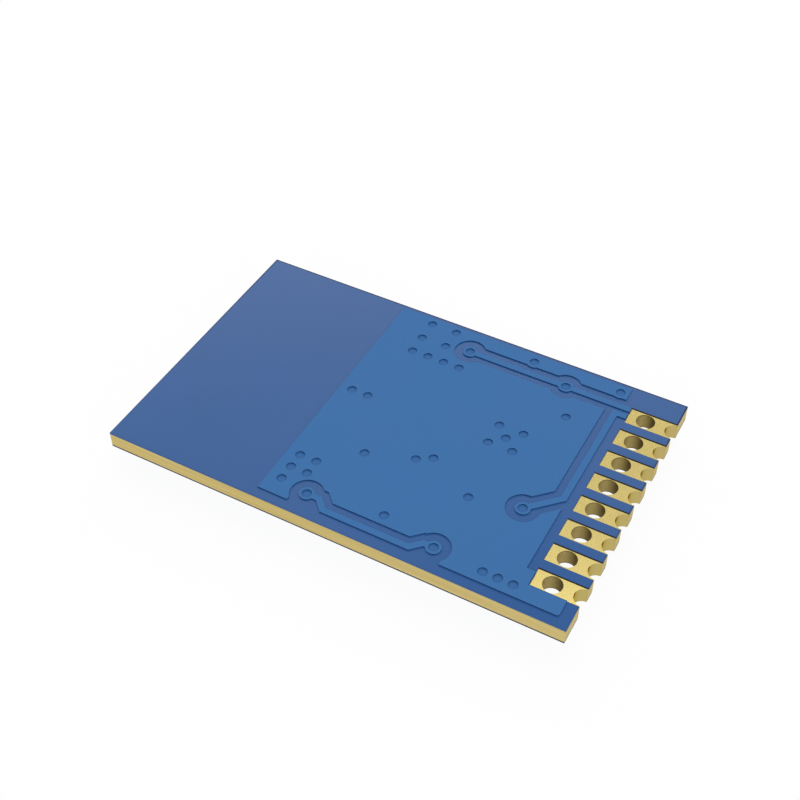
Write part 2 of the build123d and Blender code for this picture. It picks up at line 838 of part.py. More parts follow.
def solder_profile(centre, angle, inner, end, outer, climb):
    """Solder under a terminal and up its end; lengths run outwards from the centre along the angle."""
    out = (cos(radians(angle)), sin(radians(angle)), 0)
    side = (-out[1], out[0], 0)
    top = standoff + climb
    toward_corner = 0.5 - solder_sag
    middle = (end + toward_corner * (outer - end), toward_corner * top)
    with BuildSketch(Plane(origin=(*centre, front_copper_z), x_dir=out, z_dir=side)) as profile:
        with BuildLine():
            Polyline(
                (end, top),
                (end, standoff),
                (inner, standoff),
                (inner, 0),
                (outer, 0),
                middle,
                close=True,
            )
        make_face()
    return profile.sketch


# Solder joints of every terminal
passive_joint = (
    passive_length / 2 - terminal_band,
    passive_length / 2,
    (passive_pad_spacing + passive_pad_length) / 2,
    solder_climb_passive,
)
lead_joint = (chip_size / 2 - lead_length, chip_size / 2, pad_reach, solder_climb_lead)
crystal_joint = (
    crystal_pad_x - crystal_pad_length / 2,
    crystal_length / 2,
    crystal_pad_x + crystal_pad_length / 2,
    solder_climb_crystal,
)
with BuildPart() as solder_joints:
    for x, y, turn in passives.values():
        for angle in (turn, turn + 180):
            extrude(solder_profile((x, y), angle, *passive_joint), passive_width / 2, both=True)
    for number in chip_pins:
        angle = -90 * ((number - 1) // chip_pins_per_side)
        extrude(solder_profile(chip_pin(number, 0), angle, *lead_joint), lead_width / 2, both=True)
    for i in (-1, 1):
        for j in (-1, 1):
            joint_y = crystal_y + j * (crystal_width - crystal_pad_width) / 2
            profile = solder_profile((crystal_x, joint_y), 90 - 90 * i, *crystal_joint)
            extrude(profile, crystal_pad_width / 2 - crystal_notch_radius, both=True)
    with BuildSketch(Plane.XY.offset(seat_z)):
        with Locations((chip_x, chip_y)):
            Rectangle(thermal_pad_size - 2 * seat_gap, thermal_pad_size - 2 * seat_gap)
    extrude(amount=standoff)
solder_joints.part.label = "solder_joints"
export_step(solder_joints.part, "parts/solder_joints.step")
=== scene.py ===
"""The looks of a small radio module: a blue circuit board on its chip and crystal, solder side up.

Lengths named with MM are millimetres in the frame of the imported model, and the scene is in metres.
Some tones stand for how the photograph is lit, and not for how the material differs. Their
functions say so. They are placed by position or direction on the object itself.
"""

import json
import math

import bmesh
import bpy
from mathutils import Matrix, Vector


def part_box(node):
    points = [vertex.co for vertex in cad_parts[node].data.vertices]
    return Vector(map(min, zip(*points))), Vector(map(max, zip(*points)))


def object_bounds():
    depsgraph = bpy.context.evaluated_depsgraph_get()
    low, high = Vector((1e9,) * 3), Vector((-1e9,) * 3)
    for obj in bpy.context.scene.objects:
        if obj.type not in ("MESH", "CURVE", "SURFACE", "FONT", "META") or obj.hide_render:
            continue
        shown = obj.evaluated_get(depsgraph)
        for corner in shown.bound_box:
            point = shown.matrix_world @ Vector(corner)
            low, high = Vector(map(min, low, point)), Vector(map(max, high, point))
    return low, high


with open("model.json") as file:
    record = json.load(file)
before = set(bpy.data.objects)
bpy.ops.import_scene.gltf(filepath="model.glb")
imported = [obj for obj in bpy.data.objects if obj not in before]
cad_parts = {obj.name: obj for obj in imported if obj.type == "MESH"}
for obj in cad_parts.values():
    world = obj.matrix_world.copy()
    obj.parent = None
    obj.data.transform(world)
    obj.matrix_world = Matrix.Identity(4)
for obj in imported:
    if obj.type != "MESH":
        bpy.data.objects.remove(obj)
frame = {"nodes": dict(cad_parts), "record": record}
cad_low, cad_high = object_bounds()

MM = 0.001

# Camera, fitted to the board's corners in the photograph
IMAGE_SIDE_PX = 800
FOCAL_LENGTH_PX = 1289.8
SENSOR_WIDTH_MM = 36.0
CAMERA_PLACE_MM = Vector((16.625, -30.561, 37.857))
CAMERA_LOOK = Vector((-0.337416, 0.617617, -0.710422))
CAMERA_UP = Vector((-0.339777, 0.623901, 0.703775))

# Light: an even white surround and five soft panels. Each panel has its place, width and height
# in millimetres, and its power in watts.
SURROUND_STRENGTH = 0.46
PANELS = {
    "front_panel": (Vector((20.0, -220.0, 170.0)), 200.0, 200.0, 0.22),
    "top_panel": (Vector((-29.0, 99.0, 281.0)), 240.0, 150.0, 0.215),
    "rear_panel": (Vector((-132.0, 260.0, 172.0)), 520.0, 100.0, 0.45),
    "right_panel": (Vector((260.0, -90.0, 120.0)), 160.0, 160.0, 0.12),
    "under_panel": (Vector((30.0, -60.0, -300.0)), 300.0, 240.0, 0.55),
}
WHITE = (1.0, 1.0, 1.0, 1.0)

# Floor
FLOOR_SIDE_MM = 3000.0
FLOOR_BRIGHTNESS = 0.95
FLOOR_GLOW_SHARE = 0.94
FLOOR_GAP_MM = 0.01
FLOOR_CELLS = 4

# Where a face counts as a wall or as flat, by how far its normal turns to one axis
WALL_TURN = 0.3
FLAT_TURN = 0.8

# The range that most of a noise's values lie in, and the wider one that shading uses
NOISE_LOW = 0.3
NOISE_HIGH = 0.7
SHADE_LOW = 0.25
SHADE_HIGH = 0.75

# Specular levels of the board's own surfaces, and of the moulded and fired parts
BOARD_SPECULAR_LEVEL = 0.3
SOLID_SPECULAR_LEVEL = 0.4

# Tones of the blue mask, as bytes of red, green and blue
MASK_ON_COPPER = (50, 105, 162)
MASK_ON_LAMINATE = (29, 81, 141)
MASK_IN_DIMPLE = (46, 98, 156)
# Painted shade along the board's outline
OUTLINE_PAINTED_SHADE = (10, 32, 72)
# Painted light and shade on the mask's walls and round the contacts' windows, darkest on the windows'
# walls
PAINTED_SHADE_STEP_ALONG = (26, 62, 110)
PAINTED_SHADE_STEP_ACROSS = (50, 98, 154)
MASK_OUTER_WALL = (46, 92, 148)
PAINTED_SHADE_WINDOW_ALONG = (12, 24, 38)
PAINTED_SHADE_WINDOW_ACROSS = (26, 68, 120)
PAINTED_SHADE_WINDOW_RIM = (26, 66, 120)

# Finish of the blue mask
MASK_GLOSSY_ROUGHNESS = 0.36
MASK_DULL_ROUGHNESS = 0.75
MASK_ROUGHNESS_SPREAD = 0.03
MASK_CLOUDS_PER_MM = 0.45
MASK_CLOUDS_SPREAD = 0.02
MASK_GRAIN_PER_MM = 14.0
MASK_GRAIN_SPREAD = 0.015
MASK_RELIEF_MM = 0.0010
LEVEL_MARGIN_MM = 0.002

# Gold on the contacts' flats and half holes, and inside their through holes
GOLD_FLAT = (183, 166, 104)
# Painted light and shade in the through holes: lit on one side, dark on the other and at the lip
GOLD_LIT_IN_HOLE = (182, 164, 102)
GOLD_SHADED_IN_HOLE = (92, 76, 32)
GOLD_SHADED_AT_HOLE_LIP = (84, 68, 26)
HOLE_LIP_MM = 0.06
HOLE_LIP_SHARE = 0.7
HOLE_LIT_FROM = -0.5
HOLE_LIT_TO = 0.7
# A painted shadow at the foot of the mask's wall on each contact's rear side
GOLD_SHADOW_UNDER_WALL = (62, 60, 50)
UNDER_WALL_MM = 0.045
BEHIND_WINDOW_MM = 0.032
METAL_IN_HOLE = 0.45
ROUGHNESS_IN_HOLE = 0.55
GOLD_EDGE_TINT = (222, 203, 152)
GOLD_ROUGHNESS_LOW = 0.19
GOLD_ROUGHNESS_HIGH = 0.26
GOLD_CLOUDS_PER_MM = 1.6
GOLD_CLOUDS_SPREAD = 0.012
GOLD_GRAIN_PER_MM = 26.0
GOLD_GRAIN_SPREAD = 0.02
GOLD_RELIEF_MM = 0.0005

# Glass fibre laminate: its plies lie flat, so their noise is drawn out along the board
PLY_TONES = ((0.34, (208, 184, 108)), (0.52, (214, 191, 115)), (0.70, (220, 199, 124)))
PLY_STRETCH = (0.25, 0.25, 11.0)
STRAND_STRETCH = (3.0, 3.0, 1.0)
STRAND_SPREAD = 0.03
LAMINATE_ROUGHNESS_LOW = 0.55
LAMINATE_ROUGHNESS_HIGH = 0.72
LAMINATE_RELIEF_MM = 0.002

# Plain metals and plain solids: how many times larger the clouds are than the grain, how far
# the clouds shade the tone, and how far the roughness varies
METAL_CLOUDS_TO_GRAIN = 8
METAL_CLOUDS_SPREAD = 0.05
SOLID_CLOUDS_TO_GRAIN = 10
SOLID_CLOUDS_SPREAD = 0.06
ROUGHNESS_SPREAD = 0.07

# Measures of the board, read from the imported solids. Levels are counted from its middle plane.
core_low, core_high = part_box("substrate")
contact_low, contact_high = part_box("contact_1")
mask_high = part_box("solder_mask_back")[1]
MIDDLE_MM = (core_low.z + core_high.z) / 2 / MM
CORE_HALF_MM = (core_high.z - core_low.z) / 2 / MM
COVERED_LEVEL_MM = mask_high.z / MM - MIDDLE_MM
MASK_THICKNESS_MM = (mask_high.z - contact_high.z) / MM
BARE_LEVEL_MM = CORE_HALF_MM + MASK_THICKNESS_MM
CONTACT_LEVEL_MM = contact_high.z / MM - MIDDLE_MM
HALF_LENGTH_MM = core_high.x / MM
HALF_WIDTH_MM = core_high.y / MM
CONTACT_INNER_MM = contact_low.x / MM
CONTACT_PITCH_MM = (contact_low.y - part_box("contact_2")[0].y) / MM
CONTACT_HALF_WIDTH_MM = (contact_high.y - contact_low.y) / 2 / MM
LAST_CONTACT_STEP = 3

# Where the tones change on the board
HALF_HOLE_ZONE_MM = 0.55
# Width of the outline's painted shade, and its share along the front edge
OUTLINE_RIM_MM = 0.070
FRONT_RIM_SHARE = 0.1
DULLING_FROM_MM = Vector((-2.0, 2.5))
DULLING_TO_MM = Vector((7.0, -4.5))
DULLED_SHARE = 0.75
WINDOW_RIM_MM = 0.045
AT_WALL_MM = 0.012

# Rounding of the small parts' edges, by the start of a node's name
EDGE_ROUNDING_MM = {
    "capacitor": 0.028,
    "inductor": 0.028,
    "resistor": 0.012,
    "chip_body": 0.020,
    "chip_leads": 0.012,
    "crystal_base": 0.020,
    "crystal_lid": 0.015,
    "solder_joints": 0.018,
}
ROUNDING_STEPS = 2
SHARP_EDGE = math.radians(28.0)
WELD_MM = 0.0005


def colour(red, green, blue):
    """A linear colour from the bytes that it shows on screen, by the standard sRGB curve."""
    shares = [channel / 255 for channel in (red, green, blue)]
    linear = [s / 12.92 if s <= 0.04045 else ((s + 0.055) / 1.055) ** 2.4 for s in shares]
    return (*linear, 1.0)


def add_node(tree, kind, settings=None, sockets=None):
    """A node of this kind. settings are its own fields, and each socket gets a value or a link."""
    node = tree.nodes.new(kind)
    for name, value in (settings or {}).items():
        setattr(node, name, value)
    for name, value in (sockets or {}).items():
        if isinstance(value, bpy.types.NodeSocket):
            tree.links.new(value, node.inputs[name])
        else:
            node.inputs[name].default_value = value
    return node


def new_material(name):
    """An empty material, and its node tree."""
    material = bpy.data.materials.new(name)
    material.use_nodes = True
    material.node_tree.nodes.clear()
    return material, material.node_tree


def places(tree, stretch=(1.0, 1.0, 1.0)):
    """The place on the object in millimetres, stretched along the axes."""
    coordinates = add_node(tree, "ShaderNodeTexCoord")
    scale = tuple(factor / MM for factor in stretch)
    sockets = {"Vector": coordinates.outputs["Object"], "Scale": scale}
    return add_node(tree, "ShaderNodeMapping", {}, sockets).outputs["Vector"]


def noise(tree, vector, per_mm, detail=3.0):
    """Even noise from 0 to 1, with this many features a millimetre."""
    sockets = {"Vector": vector, "Scale": per_mm, "Detail": detail}
    return add_node(tree, "ShaderNodeTexNoise", {}, sockets).outputs["Fac"]


def remap(tree, value, from_low, from_high, to_low, to_high):
    """value carried from one range to another, and held at its ends."""
    before = {"From Min": from_low, "From Max": from_high}
    after = {"To Min": to_low, "To Max": to_high}
    node = add_node(tree, "ShaderNodeMapRange", {}, {"Value": value, **before, **after})
    return node.outputs["Result"]


def from_noise(tree, value, low, high):
    """low to high as a noise value goes through the range that most of its values lie in."""
    return remap(tree, value, NOISE_LOW, NOISE_HIGH, low, high)


def ramp(tree, value, stops):
    """A colour ramp over value with (place, colour) stops."""
    node = add_node(tree, "ShaderNodeValToRGB", {}, {"Fac": value})
    elements = node.color_ramp.elements
    while len(elements) < len(stops):
        elements.new(0.5)
    for element, (place, tone) in zip(elements, stops):
        element.position = place
        element.color = tone
    return node.outputs["Color"]


def shade(tree, tone, value, spread):
    """tone from darker to lighter by spread as a noise value rises."""
    scaled = add_node(tree, "ShaderNodeVectorMath", {"operation": "SCALE"})
    tree.links.new(tone, scaled.inputs[0])
    factor = remap(tree, value, SHADE_LOW, SHADE_HIGH, 1 - spread, 1 + spread)
    tree.links.new(factor, scaled.inputs["Scale"])
    return scaled.outputs["Vector"]


def math_node(tree, operation, first, second=0.0):
    """The result of one sum over sockets or numbers."""
    settings = {"operation": operation}
    return add_node(tree, "ShaderNodeMath", settings, {0: first, 1: second}).outputs[0]


def mix(tree, share, low, high):
    """The colour low where share is 0, and high where it is 1."""
    sockets = {"Fac": share, "Color1": low, "Color2": high}
    return add_node(tree, "ShaderNodeMixRGB", {}, sockets).outputs["Color"]


def bump(tree, height, depth_mm):
    """A normal from height, whose full range stands for depth_mm."""
    sockets = {"Height": height, "Distance": depth_mm * MM, "Strength": 1.0}
    return add_node(tree, "ShaderNodeBump", {}, sockets).outputs["Normal"]


def finish_surface(tree, sockets):
    """The shader and the output."""
    shader = add_node(tree, "ShaderNodeBsdfPrincipled", {}, sockets)
    add_node(tree, "ShaderNodeOutputMaterial", {}, {"Surface": shader.outputs["BSDF"]})


def axes(tree, vector):
    """The three numbers of a place or a direction."""
    parts = add_node(tree, "ShaderNodeSeparateXYZ", {}, {"Vector": vector}).outputs
    return parts["X"], parts["Y"], parts["Z"]


def facing(tree):
    """The three numbers of the surface's direction on the object."""
    return axes(tree, add_node(tree, "ShaderNodeTexCoord").outputs["Normal"])


def turned_share(tree, number):
    """1 where the surface faces along one axis, either way, and 0 where it lies along it."""
    return remap(tree, math_node(tree, "ABSOLUTE", number), WALL_TURN, FLAT_TURN, 0.0, 1.0)


def flat_share(tree):
    """0 on walls and 1 on faces that lie flat."""
    return turned_share(tree, facing(tree)[2])


def outline_gap(tree, x, y):
    """How far the place lies in from the board's outline."""
    end_gap = math_node(tree, "SUBTRACT", HALF_LENGTH_MM, math_node(tree, "ABSOLUTE", x))
    side_gap = math_node(tree, "SUBTRACT", HALF_WIDTH_MM, math_node(tree, "ABSOLUTE", y))
    return math_node(tree, "MINIMUM", end_gap, side_gap)


def contact_gap(tree, x, y):
    """How far the place lies outside the nearest contact's outline."""
    across = math_node(tree, "ABSOLUTE", y)
    first = CONTACT_PITCH_MM / 2
    steps = math_node(tree, "DIVIDE", math_node(tree, "SUBTRACT", across, first), CONTACT_PITCH_MM)
    step = math_node(tree, "MINIMUM", math_node(tree, "ROUND", steps), float(LAST_CONTACT_STEP))
    centre = math_node(tree, "ADD", math_node(tree, "MULTIPLY", step, CONTACT_PITCH_MM), first)
    aside = math_node(tree, "ABSOLUTE", math_node(tree, "SUBTRACT", across, centre))
    side_gap = math_node(tree, "SUBTRACT", aside, CONTACT_HALF_WIDTH_MM)
    end_gap = math_node(tree, "SUBTRACT", CONTACT_INNER_MM, x)
    return math_node(tree, "MAXIMUM", side_gap, end_gap)


def off_wall_share(tree, gap):
    """0 at a wall and 1 away from it."""
    return remap(tree, gap, AT_WALL_MM, 2 * AT_WALL_MM, 0.0, 1.0)


def mask_walls(tree, off_contact, off_outline):
    """The mask's small walls in painted shade, lighter where they run across the board.

    That follows the light in the photograph, and says nothing of the mask itself.
    """
    across = turned_share(tree, facing(tree)[0])
    steps = mix(tree, across, colour(*PAINTED_SHADE_STEP_ALONG), colour(*PAINTED_SHADE_STEP_ACROSS))
    windows = mix(tree, across, colour(*PAINTED_SHADE_WINDOW_ALONG), colour(*PAINTED_SHADE_WINDOW_ACROSS))
    inner = mix(tree, off_wall_share(tree, off_contact), windows, steps)
    return mix(tree, off_wall_share(tree, off_outline), colour(*MASK_OUTER_WALL), inner)


def mask_flats(tree, y, over_copper, in_dimple, off_contact):
    """The mask's level faces, darker over bare laminate, with painted shade close to the contacts'
    windows.

    The dark line at the windows is the photograph's, and may be its own sharpening.
    """
    low = mix(tree, in_dimple, colour(*MASK_ON_LAMINATE), colour(*MASK_IN_DIMPLE))
    body = mix(tree, over_copper, low, colour(*MASK_ON_COPPER))
    off_window = remap(tree, off_contact, 0.0, WINDOW_RIM_MM, 0.0, 1.0)
    # Painted shade: a dark rim round each window and a dark lip behind it
    window_shaded = mix(tree, off_window, colour(*PAINTED_SHADE_WINDOW_RIM), body)
    behind = behind_window_share(tree, y, off_contact)
    return mix(tree, behind, window_shaded, colour(*PAINTED_SHADE_WINDOW_ALONG))


def aside_from_contact(tree, y):
    """How far the place lies towards the rear from the middle of the nearest contact."""
    from_first = math_node(tree, "SUBTRACT", y, CONTACT_PITCH_MM / 2)
    steps = math_node(tree, "ROUND", math_node(tree, "DIVIDE", from_first, CONTACT_PITCH_MM))
    centre = math_node(tree, "MULTIPLY", steps, CONTACT_PITCH_MM)
    return math_node(tree, "SUBTRACT", from_first, centre)


def behind_window_share(tree, y, off_contact):
    """1 on the thin lip of mask right behind each window, which the photograph's light leaves dark."""
    aside = aside_from_contact(tree, y)
    edge = CONTACT_HALF_WIDTH_MM
    behind = remap(tree, aside, edge - BEHIND_WINDOW_MM, edge, 0.0, 1.0)
    near = remap(tree, off_contact, BEHIND_WINDOW_MM / 2, BEHIND_WINDOW_MM, 1.0, 0.0)
    return math_node(tree, "MULTIPLY", behind, near)


def outline_shade_share(tree, x, y, z):
    """How far the outline takes its painted shade: most along the rear edge, and on the walls of the
    component side.

    The photograph has this line at the rear, where its own sharpening may have made it.
    """
    flat = flat_share(tree)
    rear = remap(tree, y, -HALF_WIDTH_MM, HALF_WIDTH_MM, FRONT_RIM_SHARE, 1.0)
    on_flats = math_node(tree, "MULTIPLY", flat, rear)
    below = math_node(tree, "LESS_THAN", z, MIDDLE_MM)
    on_walls = math_node(tree, "MULTIPLY", math_node(tree, "SUBTRACT", 1.0, flat), below)
    near = remap(tree, outline_gap(tree, x, y), 0.5 * OUTLINE_RIM_MM, OUTLINE_RIM_MM, 1.0, 0.0)
    return math_node(tree, "MULTIPLY", near, math_node(tree, "ADD", on_flats, on_walls))


def dulled_share(tree, x, y):
    """How far the low mask loses its gloss, more towards the front end of the contacts.

    That stands for the photograph's light. No wear shows there.
    """
    along = remap(tree, x, DULLING_FROM_MM.x, DULLING_TO_MM.x, 0.0, DULLED_SHARE)
    across = remap(tree, y, DULLING_FROM_MM.y, DULLING_TO_MM.y, 0.0, 1.0)
    return math_node(tree, "MULTIPLY", along, across)


def level_from_middle(tree, z):
    """How far the place lies from the board's middle plane, to either face."""
    return math_node(tree, "ABSOLUTE", math_node(tree, "SUBTRACT", z, MIDDLE_MM))


def over_copper_share(tree, level):
    """1 where the mask lies on copper, and 0 where it lies on bare laminate."""
    lowest = BARE_LEVEL_MM + LEVEL_MARGIN_MM
    highest = COVERED_LEVEL_MM - LEVEL_MARGIN_MM
    return remap(tree, level, lowest, highest, 0.0, 1.0)


def mask_roughness(tree, clouds, dull):
    """Satin to dull as dull goes from 0 to 1, with a little cloudiness."""
    base = remap(tree, dull, 0.0, 1.0, MASK_GLOSSY_ROUGHNESS, MASK_DULL_ROUGHNESS)
    cloudy = from_noise(tree, clouds, -MASK_ROUGHNESS_SPREAD, MASK_ROUGHNESS_SPREAD)
    return math_node(tree, "ADD", base, cloudy)


def solder_mask():
    """Blue mask: lighter and duller over copper, painted shade on its steps, at windows and outline.
    """
    material, tree = new_material("solder_mask")
    vector = places(tree)
    x, y, z = axes(tree, vector)
    level = level_from_middle(tree, z)
    over_copper = over_copper_share(tree, level)
    in_dimple = math_node(tree, "LESS_THAN", level, BARE_LEVEL_MM - LEVEL_MARGIN_MM)
    off_contact = contact_gap(tree, x, y)
    flats = mask_flats(tree, y, over_copper, in_dimple, off_contact)
    walls = mask_walls(tree, off_contact, outline_gap(tree, x, y))
    body = mix(tree, flat_share(tree), walls, flats)
    # Painted shade along the outline, darkest at the rear edge and on the component side's walls
    rim = outline_shade_share(tree, x, y, z)
    tone = mix(tree, rim, body, colour(*OUTLINE_PAINTED_SHADE))
    clouds = noise(tree, vector, MASK_CLOUDS_PER_MM)
    grain = noise(tree, vector, MASK_GRAIN_PER_MM)
    over_metal = math_node(tree, "MAXIMUM", over_copper, in_dimple)
    dulled = math_node(tree, "MAXIMUM", rim, dulled_share(tree, x, y))
    dull = math_node(tree, "MAXIMUM", over_metal, dulled)
    cloudy = shade(tree, tone, clouds, MASK_CLOUDS_SPREAD)
    finish_surface(tree, {
        "Base Color": shade(tree, cloudy, grain, MASK_GRAIN_SPREAD),
        "Roughness": mask_roughness(tree, clouds, dull),
        "Specular IOR Level": BOARD_SPECULAR_LEVEL,
        "Normal": bump(tree, grain, MASK_RELIEF_MM),
    })
    return material


def under_wall_share(tree, y):
    """1 at the foot of the mask's wall on each contact's rear side, for the shadow seen there."""
    aside = aside_from_contact(tree, y)
    edge = CONTACT_HALF_WIDTH_MM
    near = remap(tree, aside, edge - UNDER_WALL_MM, edge - UNDER_WALL_MM / 3, 0.0, 1.0)
    return math_node(tree, "MULTIPLY", near, flat_share(tree))


def hole_tone(tree, z):
    """The walls in the through holes: lit on one side and dark at the lip, as in the photograph."""
    # Painted light and shade: lit on one side, shaded on the other and at the lip
    lit = remap(tree, facing(tree)[0], HOLE_LIT_FROM, HOLE_LIT_TO, 0.0, 1.0)
    wall = mix(tree, lit, colour(*GOLD_SHADED_IN_HOLE), colour(*GOLD_LIT_IN_HOLE))
    lip_start = CONTACT_LEVEL_MM - HOLE_LIP_MM
    lip_end = CONTACT_LEVEL_MM - HOLE_LIP_MM / 2
    lip = remap(tree, level_from_middle(tree, z), lip_start, lip_end, 0.0, 1.0)
    dark = math_node(tree, "MULTIPLY", lip, HOLE_LIP_SHARE)
    return mix(tree, dark, wall, colour(*GOLD_SHADED_AT_HOLE_LIP))


def in_hole_share(tree, x):
    """1 on the walls of the through holes, and 0 on the half holes and on all flats."""
    from_end = math_node(tree, "SUBTRACT", HALF_LENGTH_MM, x)
    beyond = math_node(tree, "GREATER_THAN", from_end, HALF_HOLE_ZONE_MM)
    return math_node(tree, "MULTIPLY", beyond, math_node(tree, "SUBTRACT", 1.0, flat_share(tree)))


def gold():
    """Thin gold over copper: satin flats with fine pitting, duller hole walls, painted light and
    shade.
    """
    material, tree = new_material("gold")
    vector = places(tree)
    x, y, z = axes(tree, vector)
    clouds = noise(tree, vector, GOLD_CLOUDS_PER_MM)
    grain = noise(tree, vector, GOLD_GRAIN_PER_MM)
    in_hole = in_hole_share(tree, x)
    # Painted shadow at the foot of the mask's wall behind each contact
    flats = mix(tree, under_wall_share(tree, y), colour(*GOLD_FLAT), colour(*GOLD_SHADOW_UNDER_WALL))
    tone = mix(tree, in_hole, flats, hole_tone(tree, z))
    cloudy = shade(tree, tone, clouds, GOLD_CLOUDS_SPREAD)
    satin = from_noise(tree, grain, GOLD_ROUGHNESS_LOW, GOLD_ROUGHNESS_HIGH)
    dull = math_node(tree, "MULTIPLY", in_hole, ROUGHNESS_IN_HOLE)
    finish_surface(tree, {
        "Base Color": shade(tree, cloudy, grain, GOLD_GRAIN_SPREAD),
        "Metallic": remap(tree, in_hole, 0.0, 1.0, 1.0, METAL_IN_HOLE),
        "Specular IOR Level": BOARD_SPECULAR_LEVEL,
        "Specular Tint": colour(*GOLD_EDGE_TINT),
        "Roughness": math_node(tree, "MAXIMUM", satin, dull),
        "Normal": bump(tree, grain, GOLD_RELIEF_MM),
    })
    return material


def laminate():
    """Glass fibre laminate: its sawn edge shows the plies as faint lines.

    Its level faces have the dark tone of the mask's rim, to match the photograph's dark outline.
    """
    material, tree = new_material("laminate")
    plies = noise(tree, places(tree, PLY_STRETCH), 1.0, detail=4.0)
    strands = noise(tree, places(tree, STRAND_STRETCH), 1.0, detail=5.0)
    edge = ramp(tree, plies, [(place, colour(*tone)) for place, tone in PLY_TONES])
    # Painted shade: the level faces take the outline's dark tone
    tone = mix(tree, flat_share(tree), edge, colour(*OUTLINE_PAINTED_SHADE))
    finish_surface(tree, {
        "Base Color": shade(tree, tone, strands, STRAND_SPREAD),
        "Roughness": from_noise(tree, strands, LAMINATE_ROUGHNESS_LOW, LAMINATE_ROUGHNESS_HIGH),
        "Specular IOR Level": BOARD_SPECULAR_LEVEL,
        "Normal": bump(tree, plies, LAMINATE_RELIEF_MM),
    })
    return material


def plain_metal(name, dark, light, per_mm, roughness, relief_mm, stretch=(1.0, 1.0, 1.0)):
    """A metal with two close tones, its roughness and its relief all following one grain."""
    material, tree = new_material(name)
    vector = places(tree, stretch)
    grain = noise(tree, vector, per_mm, detail=4.0)
    clouds = noise(tree, vector, per_mm / METAL_CLOUDS_TO_GRAIN)
    tone = ramp(tree, grain, [(0.30, colour(*dark)), (0.70, colour(*light))])
    smoothest = roughness - ROUGHNESS_SPREAD
    roughest = roughness + ROUGHNESS_SPREAD
    finish_surface(tree, {
        "Base Color": shade(tree, tone, clouds, METAL_CLOUDS_SPREAD),
        "Metallic": 1.0,
        "Roughness": from_noise(tree, grain, smoothest, roughest),
        "Normal": bump(tree, grain, relief_mm),
    })
    return material


def plain_solid(name, dark, light, per_mm, roughness, relief_mm):
    """A moulded or fired surface with a fine speckle, smoother where it is light."""
    material, tree = new_material(name)
    vector = places(tree)
    grain = noise(tree, vector, per_mm, detail=5.0)
    clouds = noise(tree, vector, per_mm / SOLID_CLOUDS_TO_GRAIN)
    tone = ramp(tree, grain, [(0.32, colour(*dark)), (0.68, colour(*light))])
    smoothest = roughness - ROUGHNESS_SPREAD
    roughest = roughness + ROUGHNESS_SPREAD
    finish_surface(tree, {
        "Base Color": shade(tree, tone, clouds, SOLID_CLOUDS_SPREAD),
        "Roughness": from_noise(tree, grain, roughest, smoothest),
        "Specular IOR Level": SOLID_SPECULAR_LEVEL,
        "Normal": bump(tree, grain, relief_mm),
    })
    return material


def copper():
    """Copper foil, where a pad shows."""
    return plain_metal(
        "copper",
        dark=(184, 118, 82),
        light=(214, 148, 108),
        per_mm=12.0,
        roughness=0.42,
        relief_mm=0.002,
    )


def chip_epoxy():
    """Black moulding compound."""
    return plain_solid(
        "chip_epoxy",
        dark=(30, 30, 32),
        light=(52, 52, 54),
        per_mm=34.0,
        roughness=0.62,
        relief_mm=0.004,
    )


def tin():
    """Matt tin on the chip's leads and pad, and on the end caps."""
    return plain_metal(
        "tin",
        dark=(176, 176, 172),
        light=(208, 208, 204),
        per_mm=22.0,
        roughness=0.42,
        relief_mm=0.003,
    )


def solder():
    """Reflowed solder."""
    return plain_metal(
        "solder",
        dark=(188, 189, 190),
        light=(222, 223, 223),
        per_mm=5.0,
        roughness=0.42,
        relief_mm=0.0015,
    )


def crystal_ceramic():
    """The crystal's dark fired base."""
    return plain_solid(
        "crystal_ceramic",
        dark=(62, 58, 55),
        light=(88, 84, 80),
        per_mm=20.0,
        roughness=0.68,
        relief_mm=0.004,
    )


def lid_metal():
    """The crystal's plated lid, brushed one way."""
    return plain_metal(
        "lid_metal",
        dark=(186, 180, 164),
        light=(214, 208, 194),
        per_mm=10.0,
        roughness=0.33,
        relief_mm=0.0015,
        stretch=(0.12, 2.0, 2.0),
    )


def capacitor_ceramic():
    """Brown fired ceramic."""
    return plain_solid(
        "capacitor_ceramic",
        dark=(146, 112, 80),
        light=(176, 140, 104),
        per_mm=18.0,
        roughness=0.6,
        relief_mm=0.003,
    )


def inductor_ceramic():
    """Pale grey fired ceramic."""
    return plain_solid(
        "inductor_ceramic",
        dark=(176, 184, 188),
        light=(206, 212, 214),
        per_mm=18.0,
        roughness=0.55,
        relief_mm=0.003,
    )


def resistor_ceramic():
    """White fired ceramic."""
    return plain_solid(
        "resistor_ceramic",
        dark=(220, 218, 212),
        light=(238, 236, 230),
        per_mm=18.0,
        roughness=0.6,
        relief_mm=0.003,
    )


def resistor_coat():
    """The resistors' black coat."""
    return plain_solid(
        "resistor_coat",
        dark=(26, 26, 27),
        light=(40, 40, 41),
        per_mm=10.0,
        roughness=0.3,
        relief_mm=0.002,
    )


MATERIALS = {
    "laminate": laminate,
    "solder_mask": solder_mask,
    "gold": gold,
    "copper": copper,
    "chip_epoxy": chip_epoxy,
    "tin": tin,
    "solder": solder,
    "crystal_ceramic": crystal_ceramic,
    "lid_metal": lid_metal,
    "capacitor_ceramic": capacitor_ceramic,
    "inductor_ceramic": inductor_ceramic,
    "resistor_ceramic": resistor_ceramic,
    "resistor_coat": resistor_coat,
}


def dress_nodes():
    """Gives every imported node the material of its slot."""
    made = {slot: make() for slot, make in MATERIALS.items()}
    for part in frame["record"]["subparts"]:
        mesh = frame["nodes"][part["node"]].data
        mesh.materials.clear()
        mesh.materials.append(made[part["material_slot"]])


